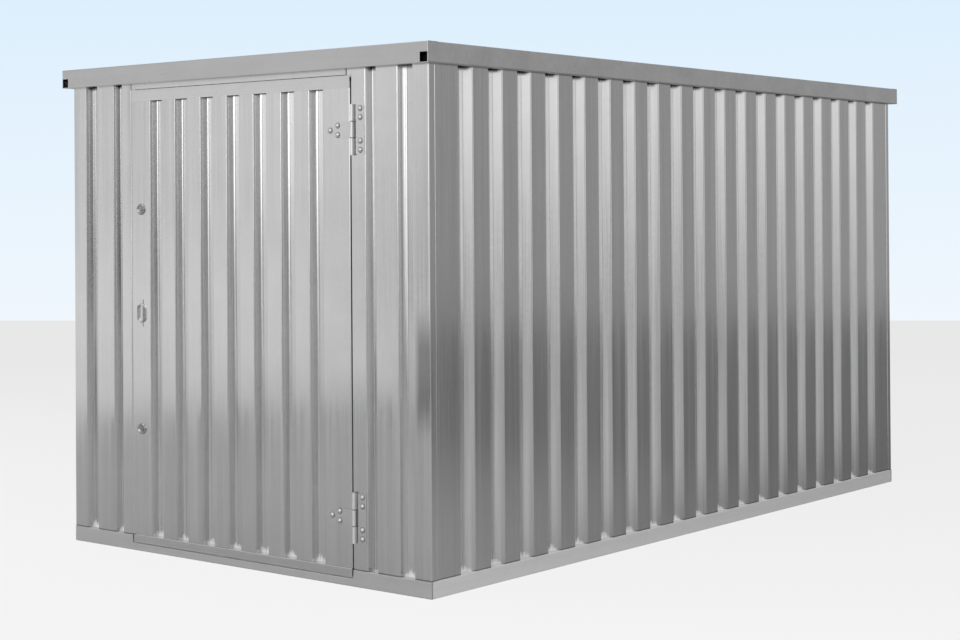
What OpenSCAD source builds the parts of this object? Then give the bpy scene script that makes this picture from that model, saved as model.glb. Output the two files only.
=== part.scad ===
// Flat pack storage container: folded base rails, bolted corrugated wall panels,
// a tray roof inside a folded edge channel, and one hinged door in the front wall.
// Frame: X across, Y along (front wall at -Y), Z up, origin at the middle of the footprint.

/* [Overall size] */
// Width over the roof edge
overall_w = 2170; // [1800:10:2650]
// Length over the roof edge
overall_l = 4050; // [3200:10:5000]
// Height from the ground to the top of the roof edge
overall_h = 2150; // [1850:10:2650]
// How far the roof edge stands out past the long walls
side_overhang = 31; // [20:1:45]
// How far the roof edge stands out past the end walls
end_overhang = 42; // [30:1:60]

/* [Base] */
// Height of the folded base rails
base_h = 68; // [60:1:90]
// Steel thickness of the base rails
base_t = 3; // [2:0.5:3.5]
// Depth of the ledge that the wall panels stand on
ledge_d = 47; // [44:1:60]
// Width of the rail's foot on the ground
foot_d = 62; // [50:1:80]
// Height left in front of the door, where the rail is cut down
sill_h = 33; // [20:1:40]
// Number of floor bearers
bearers = 7; // [5:1:9]
// Thickness of the floor boards
board_t = 18; // [12:1:24]
// Number of floor boards
boards = 3; // [2:1:4]

/* [Corrugated sheet] */
// Steel thickness of walls, roof and door skin
sheet_t = 1.5; // [1:0.25:2.5]
// Inner radius of every bend in the sheet
bend_r = 6; // [3:0.5:8]
// Steps in the arc of a bend
bend_steps = 4; // [2:1:6]
// Number of panels in a long wall, and in the roof
side_panels = 4; // [3:1:5]
// Rib pitches in one panel
panel_pitches = 5; // [4:1:6]
// Opening of a long-wall or roof valley at its top
wide_valley = 92; // [70:1:110]
// Depth of a long-wall or roof valley
wide_depth = 35; // [20:1:36]
// Run of the sloping side of a long-wall or roof valley
wide_run = 22; // [16:1:26]
// Rib pitch in the rear wall
rear_pitch = 195; // [160:5:220]
// Opening of a valley in the front wall and the door
front_valley = 76; // [60:1:84]
// Depth of a valley in the front wall and the door
front_depth = 30; // [15:1:32]
// Run of the sloping side of a front valley
front_run = 14; // [11:1:18]
// Width of the flanges that bolt two panels together
joint_flange = 25; // [20:1:35]

/* [Front wall] */
// Flat from the corner to the first valley
corner_crest = 84; // [60:1:120]
// Crest between the two valleys beside the door
jamb_crest = 113; // [80:1:140]
// Opening of the narrow valley next to the door
narrow_valley = 55; // [45:1:70]
// Least flat left at the edge of the doorway
jamb_flat = 50; // [40:1:60]
// How far the corner is folded round onto the long wall
corner_return = 35; // [25:1:45]
// How far the doorway's edge is folded in
reveal_d = 30; // [20:1:35]
// How far the wall reaches in behind the door's lip, on the lock side and above and below
rebate_w = 14; // [13:1:16]
// How far the door stop reaches past the doorway's edge
stop_w = 14; // [12:1:20]
// How far the sheet beside the doorway runs on above the door
head_lap = 21; // [15:1:30]

/* [Door] */
// Width of the door leaf
door_w = 1300; // [1050:10:1560]
// Thickness of the door leaf
door_d = 38; // [36:1:39]
// Height of the door's lower edge above the ground
door_bottom = 38; // [30:1:45]
// From the underside of the roof edge down to the top of the door
door_drop = 30; // [25:1:50]
// How far the middle of the door stands towards the lock side
door_shift = 5.5; // [0:0.5:10]
// Gap round the door, and between its lip and the rebate
door_gap = 5; // [5:1:7]
// Width of the lip that stands out past the body of the door
lip_w = 15; // [14:1:17]
// Rib pitch in the door
door_pitch = 160; // [140:5:180]
// Flat on the lock side of the door
lock_flat = 116; // [90:1:130]
// Flat on the hinge side of the door
hinge_flat = 148; // [140:1:170]
// Height of the door's top rail
top_rail_h = 47; // [35:1:60]
// Height of the door's bottom rail
bottom_rail_h = 35; // [28:1:50]
// Width of the stiffener inside the lock edge
lock_stile_w = 80; // [60:1:85]
// Width of the stiffener inside the hinge edge
hinge_stile_w = 60; // [45:1:90]

/* [Door furniture] */
// Height of the handle's middle above the ground
handle_z = 1053; // [900:1:1200]
// From the lock edge to the middle of the handle and locks
furniture_inset = 57; // [45:1:60]
// Overall width of the handle dish
handle_w = 43; // [36:1:50]
// Overall length of the handle dish
handle_l = 86; // [70:1:110]
// How far the handle's rim stands out
handle_h = 12; // [8:1:14]
// Diameter of a lock rose
rose_dia = 50; // [40:1:56]
// How far a lock rose stands out
rose_h = 8; // [5:1:12]
// From the top of the door down to the upper lock
upper_lock_drop = 526; // [400:1:600]
// From the bottom of the door up to the lower lock
lower_lock_rise = 504; // [400:1:600]

/* [Hinges] */
// Diameter of the hinge barrel
barrel_dia = 18; // [16:1:24]
// Diameter of the hinge pin
pin_dia = 10; // [7:0.5:11]
// Length of one knuckle, a third of the barrel
knuckle_l = 66; // [50:1:80]
// Thickness of the hinge plates
hinge_t = 4; // [3:0.5:5]
// From the doorway's edge to the hinge axis
axis_inset = 15; // [13:1:18]
// Width of the plate on the wall, from the hinge axis
wall_plate_w = 58; // [50:1:62]
// Length of the strap on the door, from the hinge axis
strap_l = 145; // [110:1:160]
// From the top of the door down to the middle of the upper hinge
upper_hinge_drop = 215; // [150:1:300]
// From the bottom of the door up to the middle of the lower hinge
lower_hinge_rise = 239; // [150:1:300]

/* [Roof edge] */
// Height of the roof edge channel
edge_h = 82; // [76:1:110]
// Steel thickness of the roof edge channel
edge_t = 2; // [1.5:0.5:3]
// Width of its top flange
edge_top_w = 60; // [45:1:90]
// Height of the drain opening at each end of a side channel
drain_h = 39; // [25:1:46]
// Width of the drain opening
drain_w = 39; // [25:1:45]
// From the top of the roof edge down to the top of the walls
wall_top_drop = 40; // [38:1:41]

/* [Hidden] */
$fn = 64;
seat = 0.3;
pin_fit = 0.05;
pin_gap = 1;
rail_r = 2;
base_r = 1;
head_slit = 5;
corner_slit = 4;
corner_r = 3;
wall_w = overall_w - 2 * side_overhang;
wall_l = overall_l - 2 * end_overhang;
wall_x = wall_w / 2;
front_y = -wall_l / 2;
edge_x = overall_w / 2;
edge_y = -overall_l / 2;
edge_z = overall_h - edge_h;
wall_top = overall_h - wall_top_drop;
skin_x = wall_x - sheet_t - seat;

// Doorway: lock side on the left, hinge side on the right. The rebate's side slopes at 45 degrees
// on the lock side, so the gap is wider there to keep the same clearance.
rebate_d = sheet_t + door_gap;
lock_gap = door_gap * sqrt(2) + sheet_t + seat;
door_l = -door_w / 2 - door_shift;
door_r = door_l + door_w;
body_l = door_l + lip_w;
way_l = door_l - lock_gap;
way_r = door_r + door_gap;
inner_l = body_l - door_gap;
door_top = edge_z - door_drop;
way_top = door_top + door_gap;
rebate_y = front_y + rebate_d;
head_z = way_top - rebate_w;
head_l = max(way_l + head_lap, inner_l + stop_w) + seat;
stop_y = front_y + ledge_d - base_t;
jamb_l_w = way_l + wall_x;
jamb_r_w = wall_x - way_r;
rail_y = front_y - sheet_t - seat / 3;
skin_back = front_y + door_d - sheet_t - seat / 3;
skin_low = door_bottom + bottom_rail_h + seat;
skin_top = door_top - lip_w - sheet_t - rail_r - seat;

panel_w = (wall_l - 2 * corner_return) / side_panels;
panel_y = front_y + corner_return;
wide_pitch = panel_w / panel_pitches;
roof_w = wall_l / side_panels;
roof_pitch = roof_w / panel_pitches;

board_w = 2 * (wall_x - ledge_d - seat * 2);
floor_l = wall_l - 2 * (ledge_d + seat * 2);
board_l = (floor_l - (boards - 1) * 2) / boards;
bearer_h = base_h - board_t - base_t;
bearer_w = 40;

axis_x = way_r + axis_inset;
axis_y = front_y - barrel_dia / 2 - pin_gap;
furniture_x = door_l + furniture_inset;
upper_hinge_z = door_top - upper_hinge_drop;
lower_hinge_z = door_bottom + lower_hinge_rise;

STEEL = "#b9bdc0";
RAIL = "#a9adb0";
DARK = "#8d9194";
BOARD = "#9a7b52";

// ---- Folded sheet ----

function unit(v) = v / norm(v);
function left_of(d) = [-d[1], d[0]];
function turned(v, a) = [v[0] * cos(a) - v[1] * sin(a), v[0] * sin(a) + v[1] * cos(a)];
function turn_angle(a, b) = atan2(a[0] * b[1] - a[1] * b[0], a[0] * b[0] + a[1] * b[1]);

// The arc of one bend at corner p, on the face that lies s to the left of the path
function bend(p, d0, d1, t, r, s) =
    let (a = turn_angle(d0, d1), g = sign(a), near = g > 0 ? r + t : r,
         arm = left_of(d0) * g, centre = p - d0 * near * tan(abs(a) / 2) + arm * near)
    [for (i = [0:bend_steps]) centre - turned(arm, a * i / bend_steps) * (near - g * s)];

function face(path, t, r, s) =
    let (n = len(path) - 1, d = [for (i = [0:n - 1]) unit(path[i + 1] - path[i])])
    concat([path[0] + left_of(d[0]) * s],
           [for (i = [1:n - 1]) each bend(path[i], d[i - 1], d[i], t, r, s)],
           [path[n] + left_of(d[n - 1]) * s]);

function reversed(v) = [for (i = [len(v) - 1:-1:0]) v[i]];

// Section of a sheet folded along a path: the path is its outer face, the steel is on its left
module section(path, t, r) {
    polygon(concat(face(path, t, r, 0), reversed(face(path, t, r, t))));
}

// A section drawn in plan and run from z0 up to z1
module upright(path, z0, z1, t = sheet_t, r = bend_r) {
    translate([0, 0, z0]) linear_extrude(z1 - z0) section(path, t, r);
}

// A section drawn in Y and Z and run across from x0 to x1
module across(path, x0, x1, t, r) {
    translate([x0, 0, 0]) rotate([90, 0, 90]) linear_extrude(x1 - x0) section(path, t, r);
}

// A section drawn in X and Z and run along from y0 to y1
module along(path, y0, y1, t, r) {
    translate([0, y1, 0]) rotate([90, 0, 0]) linear_extrude(y1 - y0) section(path, t, r);
}

// Corners of one valley on a level line, as [distance along, depth]
function valley(start, opening, depth, run) =
    [[start, 0], [start + run, depth], [start + opening - run, depth], [start + opening, 0]];

// ---- Base ----

module base_front_profile(x0, x1) {
    across([[front_y + ledge_d, base_h], [front_y, base_h], [front_y, 0], [front_y + foot_d, 0]],
           x0, x1, base_t, base_r);
}

// Takes the flanges off an end rail where the side rails' faces run through to its own face
module corner_trim() {
    difference() {
        children();
        for (m = [0, 1]) mirror([m, 0, 0])
            translate([wall_x - base_t - seat, front_y + base_t, -1])
                cube([base_t + seat + 1, foot_d, base_h + 2]);
    }
}

module base_front_rail() color(RAIL) corner_trim() {
    base_front_profile(-wall_x, way_l);
    base_front_profile(way_r, wall_x);
    across([[stop_y, base_h], [stop_y, sill_h + rebate_w], [rebate_y, sill_h + rebate_w],
            [rebate_y, sill_h], [front_y, sill_h], [front_y, 0], [front_y + foot_d, 0]],
           way_l - base_t / 2, way_r + base_t / 2, base_t, base_r);
    for (x = [way_l - base_t, way_r])
        translate([x, front_y + base_t / 2, base_t])
            cube([base_t, ledge_d - base_t / 2, base_h - 2 * base_t + base_t / 2]);
}

module base_rear_rail() color(RAIL)
    mirror([0, 1, 0]) corner_trim() base_front_profile(-wall_x, wall_x);

module base_right_rail() color(RAIL)
    along([[wall_x - foot_d, 0], [wall_x, 0], [wall_x, base_h], [wall_x - ledge_d, base_h]],
          front_y + base_t + corner_slit, -front_y - base_t - corner_slit, base_t, base_r);

// The side rail's flanges stop short of the end rails' flanges
module base_side_rail() {
    difference() {
        base_right_rail();
        for (m = [0, 1]) mirror([0, m, 0])
            translate([0, front_y, -1])
                cube([wall_x - base_t - seat, foot_d + seat, base_h + 2]);
    }
}

module floor_bearers() color(DARK)
    for (i = [0:bearers - 1]) {
        y = front_y + foot_d + 1 + (wall_l - 2 * foot_d - 2 - bearer_w) * i / (bearers - 1);
        across([[y + bearer_w, base_t + bearer_h], [y, base_t + bearer_h], [y, base_t],
                [y + bearer_w, base_t]],
               -wall_x + 2 * base_t + seat, wall_x - 2 * base_t - seat, base_t, base_r);
    }

module floor_board(i) color(BOARD)
    translate([-board_w / 2, -floor_l / 2 + (i - 1) * (board_l + 2), base_h - board_t])
        cube([board_w, board_l, board_t]);

// ---- Walls ----

// Panel i of the right wall, from the front. Inner edges meet in the middle of a valley and turn
// in as bolting flanges; at a corner the sheet runs flat under the end wall's return.
module side_panel(i) {
    y0 = panel_y + (i - 1) * panel_w;
    y1 = y0 + panel_w;
    first = i == 1;
    last = i == side_panels;
    lap = corner_return - sheet_t - bend_r - seat;
    floor_x = skin_x - wide_depth;
    start = first ? [[skin_x, y0 - lap]] : [[floor_x - joint_flange, y0 + seat / 2],
                                            [floor_x, y0 + seat / 2]];
    middle = [for (k = [1:panel_pitches - 1])
              each [for (q = valley(y0 + k * wide_pitch - wide_valley / 2, wide_valley,
                                    wide_depth, wide_run)) [skin_x - q[1], q[0]]]];
    half = wide_valley / 2;
    rise = first ? [] : [[floor_x, y0 + half - wide_run], [skin_x, y0 + half]];
    fall = last ? [] : [[skin_x, y1 - half], [floor_x, y1 - half + wide_run]];
    end = last ? [[skin_x, y1 + lap]] : [[floor_x, y1 - seat / 2],
                                         [floor_x - joint_flange, y1 - seat / 2]];
    upright(concat(start, rise, middle, fall, end), base_h, wall_top);
}

module right_wall_panel(i) color(STEEL) side_panel(i);

module left_wall_panel(i) color(STEEL) mirror([1, 0, 0]) side_panel(i);

// Left half of the rear wall, drawn at the front and mirrored to the rear
module rear_half() {
    end_crest = 80;
    pairs = floor(((wall_w - 2 * end_crest - wide_valley) / rear_pitch + 1) / 2);
    first = -(2 * pairs - 1) * rear_pitch / 2 - wide_valley / 2;
    ribs = [for (k = [0:pairs - 1])
            each [for (q = valley(first + k * rear_pitch, wide_valley, wide_depth, wide_run))
                  [q[0], front_y + q[1]]]];
    upright(concat([[-wall_x, front_y + corner_return], [-wall_x, front_y]], ribs,
                   [[-seat / 2, front_y], [-seat / 2, front_y + joint_flange]]),
            base_h, wall_top);
}

module rear_wall_left() color(STEEL) mirror([0, 1, 0]) rear_half();

module rear_wall_right() color(STEEL) mirror([0, 1, 0]) mirror([1, 0, 0]) rear_half();

// Front wall beside the doorway, from the corner's return to the doorway's edge, with the
// sheet running on above the door. w is the width that stands in the face of the wall, lap is
// how far the sheet runs on.
module front_wall(w, edge, lap) {
    second = corner_crest + front_valley + jamb_crest;
    wanted = [[corner_crest, front_valley], [second, narrow_valley]];
    ribs = [for (v = wanted) if (v[0] + v[1] + jamb_flat < w) v];
    points = [for (v = ribs) each [for (q = valley(v[0] - wall_x, v[1], front_depth, front_run))
                                   [q[0], front_y + q[1]]]];
    upright(concat([[-wall_x, front_y + corner_return], [-wall_x, front_y]], points, edge),
            base_h, wall_top, r = 3);
    translate([w - wall_x - 12, front_y, way_top])
        cube([lap + 12, sheet_t, wall_top - way_top]);
}

// On the lock side the edge steps back behind the door's lip before it is folded in
module front_wall_left() color(STEEL)
    front_wall(jamb_l_w, [[way_l, front_y], [way_l + rebate_d, rebate_y], [inner_l, rebate_y],
                          [inner_l, front_y + reveal_d]], head_l - seat - way_l);

module front_wall_right() color(STEEL) mirror([1, 0, 0])
    front_wall(jamb_r_w, [[-way_r, front_y], [-way_r, front_y + reveal_d]], head_lap);

// Folded post behind a doorway edge at x: it stiffens the wall and makes the door stop
module door_post(x, front) {
    t = 2;
    face_x = x - sheet_t - seat;
    upright([[face_x - 44, front], [face_x, front], [face_x, stop_y], [x + stop_w, stop_y]],
            base_h, wall_top, t = t, r = t);
}

module door_post_left() color(RAIL) door_post(inner_l, rebate_y + sheet_t + seat);

module door_post_right() color(RAIL) mirror([1, 0, 0])
    door_post(-way_r, front_y + sheet_t + seat);

// Folded lintel between the posts. The plate of its rebate runs on at both ends, behind the
// wall's sheet, to the doorway's edges.
module door_head() color(STEEL) {
    t = 2;
    back = front_y + ledge_d;
    across([[back, wall_top], [front_y, wall_top], [front_y, way_top], [rebate_y, way_top],
            [rebate_y, head_z], [stop_y, head_z], [stop_y, head_z - stop_w]],
           head_l, way_r - head_lap - head_slit, t, 1);
    translate([inner_l + seat, rebate_y, head_z + 2 * t])
        cube([way_r - inner_l - 2 * seat, t, way_top - head_z]);
}

// ---- Roof ----

module roof_panel(i) color(STEEL) {
    y0 = front_y + (i - 1) * roof_w;
    y1 = y0 + roof_w;
    high = wall_top + sheet_t + wide_depth;
    ribs = [for (k = [panel_pitches - 1:-1:0])
            each reversed([for (q = valley(y0 + (k + 0.5) * roof_pitch - wide_valley / 2,
                                           wide_valley, wide_depth, wide_run))
                           [q[0], high - q[1]]])];
    lip = i == side_panels ? [[y1, high]] : [[y1 - seat / 2, high - joint_flange],
                                             [y1 - seat / 2, high]];
    toe = i == 1 ? [[y0, high]] : [[y0 + seat / 2, high], [y0 + seat / 2, high - joint_flange]];
    across(concat(lip, ribs, toe), -wall_x - 8, wall_x + 8, sheet_t, bend_r);
}

// Edge channel at an end: top flange, face, underside and the leg against the wall
module end_edge() {
    face_path = [[edge_y + edge_top_w, overall_h], [edge_y, overall_h], [edge_y, edge_z]];
    difference() {
        union() {
            across(concat(face_path, [[front_y, edge_z], [front_y, wall_top - 1]]),
                   -wall_x + seat, wall_x - seat, edge_t, edge_t);
            across(face_path, -edge_x, edge_x, edge_t, edge_t);
        }
        for (m = [0, 1]) mirror([m, 0, 0]) {
            translate([edge_x - edge_t - drain_w, edge_y - 1, edge_z + edge_t])
                cube([drain_w, edge_t + 2, drain_h]);
            translate([edge_x - corner_r, edge_y + corner_r, edge_z - 1]) difference() {
                translate([0, -corner_r - 1, 0]) cube([corner_r + 1, corner_r + 1, edge_h + 2]);
                cylinder(h = edge_h + 2, r = corner_r);
            }
        }
    }
    return_z = 2 * edge_t + seat;
    for (m = [0, 1]) mirror([m, 0, 0])
        translate([edge_x - 2 * edge_t, edge_y + edge_t / 2, edge_z + return_z])
            cube([edge_t, edge_top_w - edge_t / 2, edge_h - return_z - edge_t / 2]);
}

module roof_edge_front() color(STEEL) end_edge();

module roof_edge_rear() color(STEEL) mirror([0, 1, 0]) end_edge();

// Edge channel along a side: it runs through to the drain openings at both ends
module side_edge() {
    end = -edge_y - edge_t - seat;
    flange_end = -edge_y - edge_top_w - seat;
    full = [[edge_top_w - edge_x, overall_h], [-edge_x, overall_h], [-edge_x, edge_z],
            [-wall_x, edge_z], [-wall_x, wall_top - 1]];
    lower = [[-edge_x, overall_h - edge_t - seat], full[2], full[3]];
    mirror([1, 0, 0]) along(full, -flange_end, flange_end, edge_t, edge_t);
    mirror([1, 0, 0]) along(lower, -end, end, edge_t, edge_t);
}

module roof_edge_right() color(STEEL) side_edge();

module roof_edge_left() color(STEEL) mirror([1, 0, 0]) side_edge();

// ---- Door ----

module door_skin() color(STEEL) {
    free = door_w - lock_flat - hinge_flat - front_valley;
    count = floor(free / door_pitch + 0.001) + 1;
    first = door_l + lock_flat + (free - (count - 1) * door_pitch) / 2;
    ribs = [for (k = [0:count - 1])
            each [for (q = valley(first + k * door_pitch, front_valley, front_depth, front_run))
                  [q[0], front_y + q[1]]]];
    upright(concat([[door_l, front_y]], ribs, [[door_r, front_y], [door_r, skin_back]]),
            skin_low, skin_top, r = 3);
}

// Channel over the top of the door, with a lip that runs on past it in the plane of its face
module door_top_rail() color(STEEL) {
    back = front_y + door_d;
    low = door_top - top_rail_h;
    across([[back, low], [back, door_top - lip_w], [rail_y, door_top - lip_w], [rail_y, low]],
           body_l, door_r, sheet_t, rail_r);
    translate([door_l, rail_y, low]) cube([door_w, sheet_t, top_rail_h]);
}

// The skin stands on the bottom rail: its face runs down as a lip in front of the rebate
module door_bottom_rail() color(STEEL) {
    back = front_y + door_d;
    top = door_bottom + bottom_rail_h;
    across([[back, door_bottom + lip_w], [back, top], [rail_y, top], [rail_y, door_bottom]],
           body_l, door_r, sheet_t, rail_r);
    translate([door_l, rail_y, door_bottom]) cube([door_w, sheet_t, bottom_rail_h - rail_r - sheet_t]);
}

// Channel stiffener inside an edge of the door, open towards the middle of the door
module stile(edge, w) {
    front = front_y + sheet_t + seat;
    upright([[edge - w, front], [edge, front], [edge, skin_back], [edge - w, skin_back]],
            skin_low, skin_top, t = 2, r = 2);
}

module door_hinge_stile() color(RAIL) stile(door_r - sheet_t - seat, hinge_stile_w);

module door_lock_stile() color(RAIL) mirror([1, 0, 0]) stile(-body_l, lock_stile_w);

// Moves a piece drawn on the XY plane, standing up in Z, onto the face of the door
module on_door(z) {
    translate([furniture_x, front_y, z]) rotate([90, 0, 0]) children();
}

// Oval dished pull with a raised rim and a fixing lug at each end
module door_handle() color(DARK) on_door(handle_z) {
    plate = 2;
    rim = 3;
    r = handle_w / 2;
    straight = handle_l - handle_w;
    half = [[0, 0], [r, 0], [r, plate], [r - 2, handle_h], [r - 2 - rim, handle_h],
            [r - 4 - rim, plate], [0, plate]];
    for (a = [0, 180]) rotate([0, 0, a])
        translate([0, straight / 2, 0]) rotate_extrude(angle = 180) polygon(half);
    for (m = [0, 1]) mirror([m, 0, 0])
        translate([0, straight / 2, 0]) rotate([90, 0, 0]) linear_extrude(straight) polygon(half);
    for (m = [0, 1]) mirror([0, m, 0])
        translate([-10, handle_l / 2 - 4, 0]) cube([20, 21, 3]);
}

// Round lock rose with a dished face, and a plug with its key slot
module lock() {
    r = rose_dia / 2;
    plug = 9;
    difference() {
        rotate_extrude() polygon([[0, 0], [r, 0], [r, rose_h * 0.4], [r - 3.5, rose_h],
                                  [r - 6, rose_h], [plug + 3, rose_h * 0.4], [plug, rose_h * 0.4],
                                  [plug, rose_h - 1], [0, rose_h - 1]]);
        translate([-1.2, -6, rose_h - 5]) cube([2.4, 12, 6]);
    }
}

module upper_lock() color(DARK) on_door(door_top - upper_lock_drop) lock();

module lower_lock() color(DARK) on_door(door_bottom + lower_lock_rise) lock();

// ---- Hinges ----

module knuckle(z0, z1, bore) {
    translate([axis_x, axis_y, z0]) difference() {
        cylinder(h = z1 - z0, d = barrel_dia);
        if (bore) translate([0, 0, -1]) cylinder(h = z1 - z0 + 2, d = pin_dia + 2 * pin_fit);
    }
}

// Tapered strap on the door, stepped out past the doorway's edge to meet the middle knuckle
module hinge_strap(z) {
    half = knuckle_l / 2 - 0.4;
    nose = 15;
    shoulder = 65;
    root = -axis_inset - door_gap;
    outline = [[root, -half], [-shoulder, -half], [nose - strap_l, -nose], [nose - strap_l, nose],
               [-shoulder, half], [root, half]];
    knuckle(z - half, z + half, true);
    translate([axis_x, front_y, z]) rotate([90, 0, 0]) {
        linear_extrude(hinge_t) polygon(outline);
        translate([root - 6, -half, pin_gap]) cube([-root + 2, 2 * half, hinge_t]);
        translate([nose - strap_l, 0, 0]) cylinder(h = hinge_t, r = nose);
    }
}

module upper_hinge_strap() color(RAIL) hinge_strap(upper_hinge_z);

module lower_hinge_strap() color(RAIL) hinge_strap(lower_hinge_z);

// Plate on the wall with the outer knuckles and the pin, cut back round the middle knuckle
module hinge_plate(z) {
    inner = knuckle_l / 2;
    outer = inner + knuckle_l;
    cut = barrel_dia / 2 + 4;
    for (s = [0, 1]) translate([0, 0, z]) mirror([0, 0, s]) translate([0, 0, -z])
        knuckle(z + inner, z + outer, false);
    translate([axis_x, axis_y, z - outer - 3]) cylinder(h = 2 * outer + 6, d = pin_dia);
    for (s = [-1, 1])
        translate([axis_x, axis_y, z + s * (outer + 1.5) - 1.5]) cylinder(h = 3, d = pin_dia + 6);
    translate([axis_x, front_y - hinge_t, z]) {
        translate([cut, 0, -outer]) cube([wall_plate_w - cut, hinge_t, 2 * outer]);
        for (s = [0, 1]) mirror([0, 0, s])
            translate([0, 0, inner]) cube([cut + 1, hinge_t, knuckle_l]);
    }
}

module upper_hinge_plate() color(RAIL) hinge_plate(upper_hinge_z);

module lower_hinge_plate() color(RAIL) hinge_plate(lower_hinge_z);

// ---- Drawing ----

base_front_rail();
base_rear_rail();
mirror([1, 0, 0]) base_side_rail();  // base_left_rail
base_side_rail();  // base_right_rail
floor_bearers();
for (i = [1:boards])
    floor_board(i);
for (i = [1:side_panels]) {
    left_wall_panel(i);
    right_wall_panel(i);
    roof_panel(i);
}
rear_wall_left();
rear_wall_right();
front_wall_left();
front_wall_right();
door_post_left();
door_post_right();
door_head();
roof_edge_front();
roof_edge_rear();
roof_edge_left();
roof_edge_right();
door_skin();
door_top_rail();
door_bottom_rail();
door_lock_stile();
door_hinge_stile();
door_handle();
upper_lock();
lower_lock();
upper_hinge_strap();
lower_hinge_strap();
upper_hinge_plate();
lower_hinge_plate();
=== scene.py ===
import math

import bpy
from mathutils import Matrix, Vector


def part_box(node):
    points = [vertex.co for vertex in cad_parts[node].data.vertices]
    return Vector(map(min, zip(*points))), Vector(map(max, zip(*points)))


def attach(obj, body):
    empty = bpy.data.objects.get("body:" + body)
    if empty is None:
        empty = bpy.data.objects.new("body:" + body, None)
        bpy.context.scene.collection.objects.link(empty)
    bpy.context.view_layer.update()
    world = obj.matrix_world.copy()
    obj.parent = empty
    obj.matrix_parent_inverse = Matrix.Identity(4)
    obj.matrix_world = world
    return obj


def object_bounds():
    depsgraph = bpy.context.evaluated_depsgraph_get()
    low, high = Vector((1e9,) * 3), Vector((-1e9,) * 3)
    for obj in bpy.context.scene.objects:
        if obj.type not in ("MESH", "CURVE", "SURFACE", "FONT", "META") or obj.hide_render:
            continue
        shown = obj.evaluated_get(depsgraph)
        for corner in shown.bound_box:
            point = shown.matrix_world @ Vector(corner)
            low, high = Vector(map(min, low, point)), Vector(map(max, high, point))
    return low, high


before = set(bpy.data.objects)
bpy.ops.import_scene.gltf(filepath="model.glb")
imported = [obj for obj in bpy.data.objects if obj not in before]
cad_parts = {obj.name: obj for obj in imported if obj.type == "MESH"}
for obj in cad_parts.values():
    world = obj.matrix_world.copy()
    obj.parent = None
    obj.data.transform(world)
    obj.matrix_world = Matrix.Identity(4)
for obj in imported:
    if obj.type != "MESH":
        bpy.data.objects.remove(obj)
cad_low, cad_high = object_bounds()

# ---- Camera -------------------------------------------------------------------------
# A level view at eye height from the front right, where the door and one long wall show.
# The lens is long, so the far end of the wall keeps most of its height.

EYE = (5.608, -7.519, 1.496)
EYE_TURN = (90.414, 0.351, 40.224)
camera_data = bpy.data.cameras.new("eye_height_camera")
camera_data.sensor_width = 36.0
camera_data.lens = 69.76
camera_data.shift_x = 0.0790
camera_data.shift_y = -0.1272
camera = bpy.data.objects.new("eye_height_camera", camera_data)
bpy.context.scene.collection.objects.link(camera)
camera.location = EYE
camera.rotation_euler = [math.radians(degrees) for degrees in EYE_TURN]
bpy.context.scene.camera = camera

# ---- Yard floor and backdrop --------------------------------------------------------
# A pale, even floor that ends at a straight far edge, with a pale blue sky behind it.
# Both are only the setting: the floor keeps the store's shadow.

FLOOR_HALF = 15.98
FLOOR_TURN = math.radians(34.3)
floor_mesh = bpy.data.meshes.new("yard_floor")
floor_mesh.from_pydata(
    [(-FLOOR_HALF, -FLOOR_HALF, 0), (FLOOR_HALF, -FLOOR_HALF, 0),
     (FLOOR_HALF, FLOOR_HALF, 0), (-FLOOR_HALF, FLOOR_HALF, 0)],
    [], [(0, 1, 2, 3)])
floor_mesh.transform(Matrix.Rotation(FLOOR_TURN, 4, "Z"))
yard_floor = bpy.data.objects.new("yard_floor", floor_mesh)
bpy.context.scene.collection.objects.link(yard_floor)


def add_node(tree, kind, inputs=None, **settings):
    """A node in this tree. An input is a plain value, or the output that feeds it."""
    node = tree.nodes.new(kind)
    for name, value in settings.items():
        setattr(node, name, value)
    for socket, value in (inputs or {}).items():
        if isinstance(value, bpy.types.NodeSocket):
            tree.links.new(value, node.inputs[socket])
        else:
            node.inputs[socket].default_value = value
    return node


def maths_in(tree):
    """Gives a function that adds one operation to this tree and returns its result."""
    def maths(operation, *values):
        return add_node(tree, "ShaderNodeMath", dict(enumerate(values)),
                        operation=operation).outputs[0]
    return maths


def change_in(tree, interpolation):
    """Gives a function that adds a change from low to high, as value goes from start to
    stop. It stays at low before the start and at high after the stop."""
    def change(value, start, stop, low=0.0, high=1.0):
        inputs = {"Value": value, "From Min": start, "From Max": stop,
                  "To Min": low, "To Max": high}
        return add_node(tree, "ShaderNodeMapRange", inputs,
                        interpolation_type=interpolation).outputs[0]
    return change


def heading(degrees):
    """A level direction, in degrees from +X towards +Y."""
    return (math.cos(math.radians(degrees)), math.sin(math.radians(degrees)), 0.0)


def metres_along(direction):
    """How far each spot of the floor lies in this direction from the middle."""
    return add_node(tree, "ShaderNodeVectorMath", {0: spot, 1: direction},
                    operation="DOT_PRODUCT").outputs["Value"]


floor_mat = bpy.data.materials.new("yard_floor")
floor_mat.use_nodes = True
tree = floor_mat.node_tree
tree.nodes.clear()
maths, change = maths_in(tree), change_in(tree, "LINEAR")
spot = add_node(tree, "ShaderNodeTexCoord").outputs["Object"]
spot_y = add_node(tree, "ShaderNodeSeparateXYZ", {0: spot}).outputs["Y"]
rays = add_node(tree, "ShaderNodeLightPath").outputs

# The eye sees the floor's pale glow fade slightly towards the back, and the metal sees it
# only far off to the left
EYE_FADE = (-6.5, 10.0, 0.86, 0.76)
METAL_FADE = (6.08, 6.8, 0.0, 0.68)
share = maths("ADD",
              maths("MULTIPLY", change(metres_along(heading(130)), *EYE_FADE),
                    rays["Is Camera Ray"]),
              maths("MULTIPLY", change(metres_along(heading(200)), *METAL_FADE),
                    rays["Is Glossy Ray"]))

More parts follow.
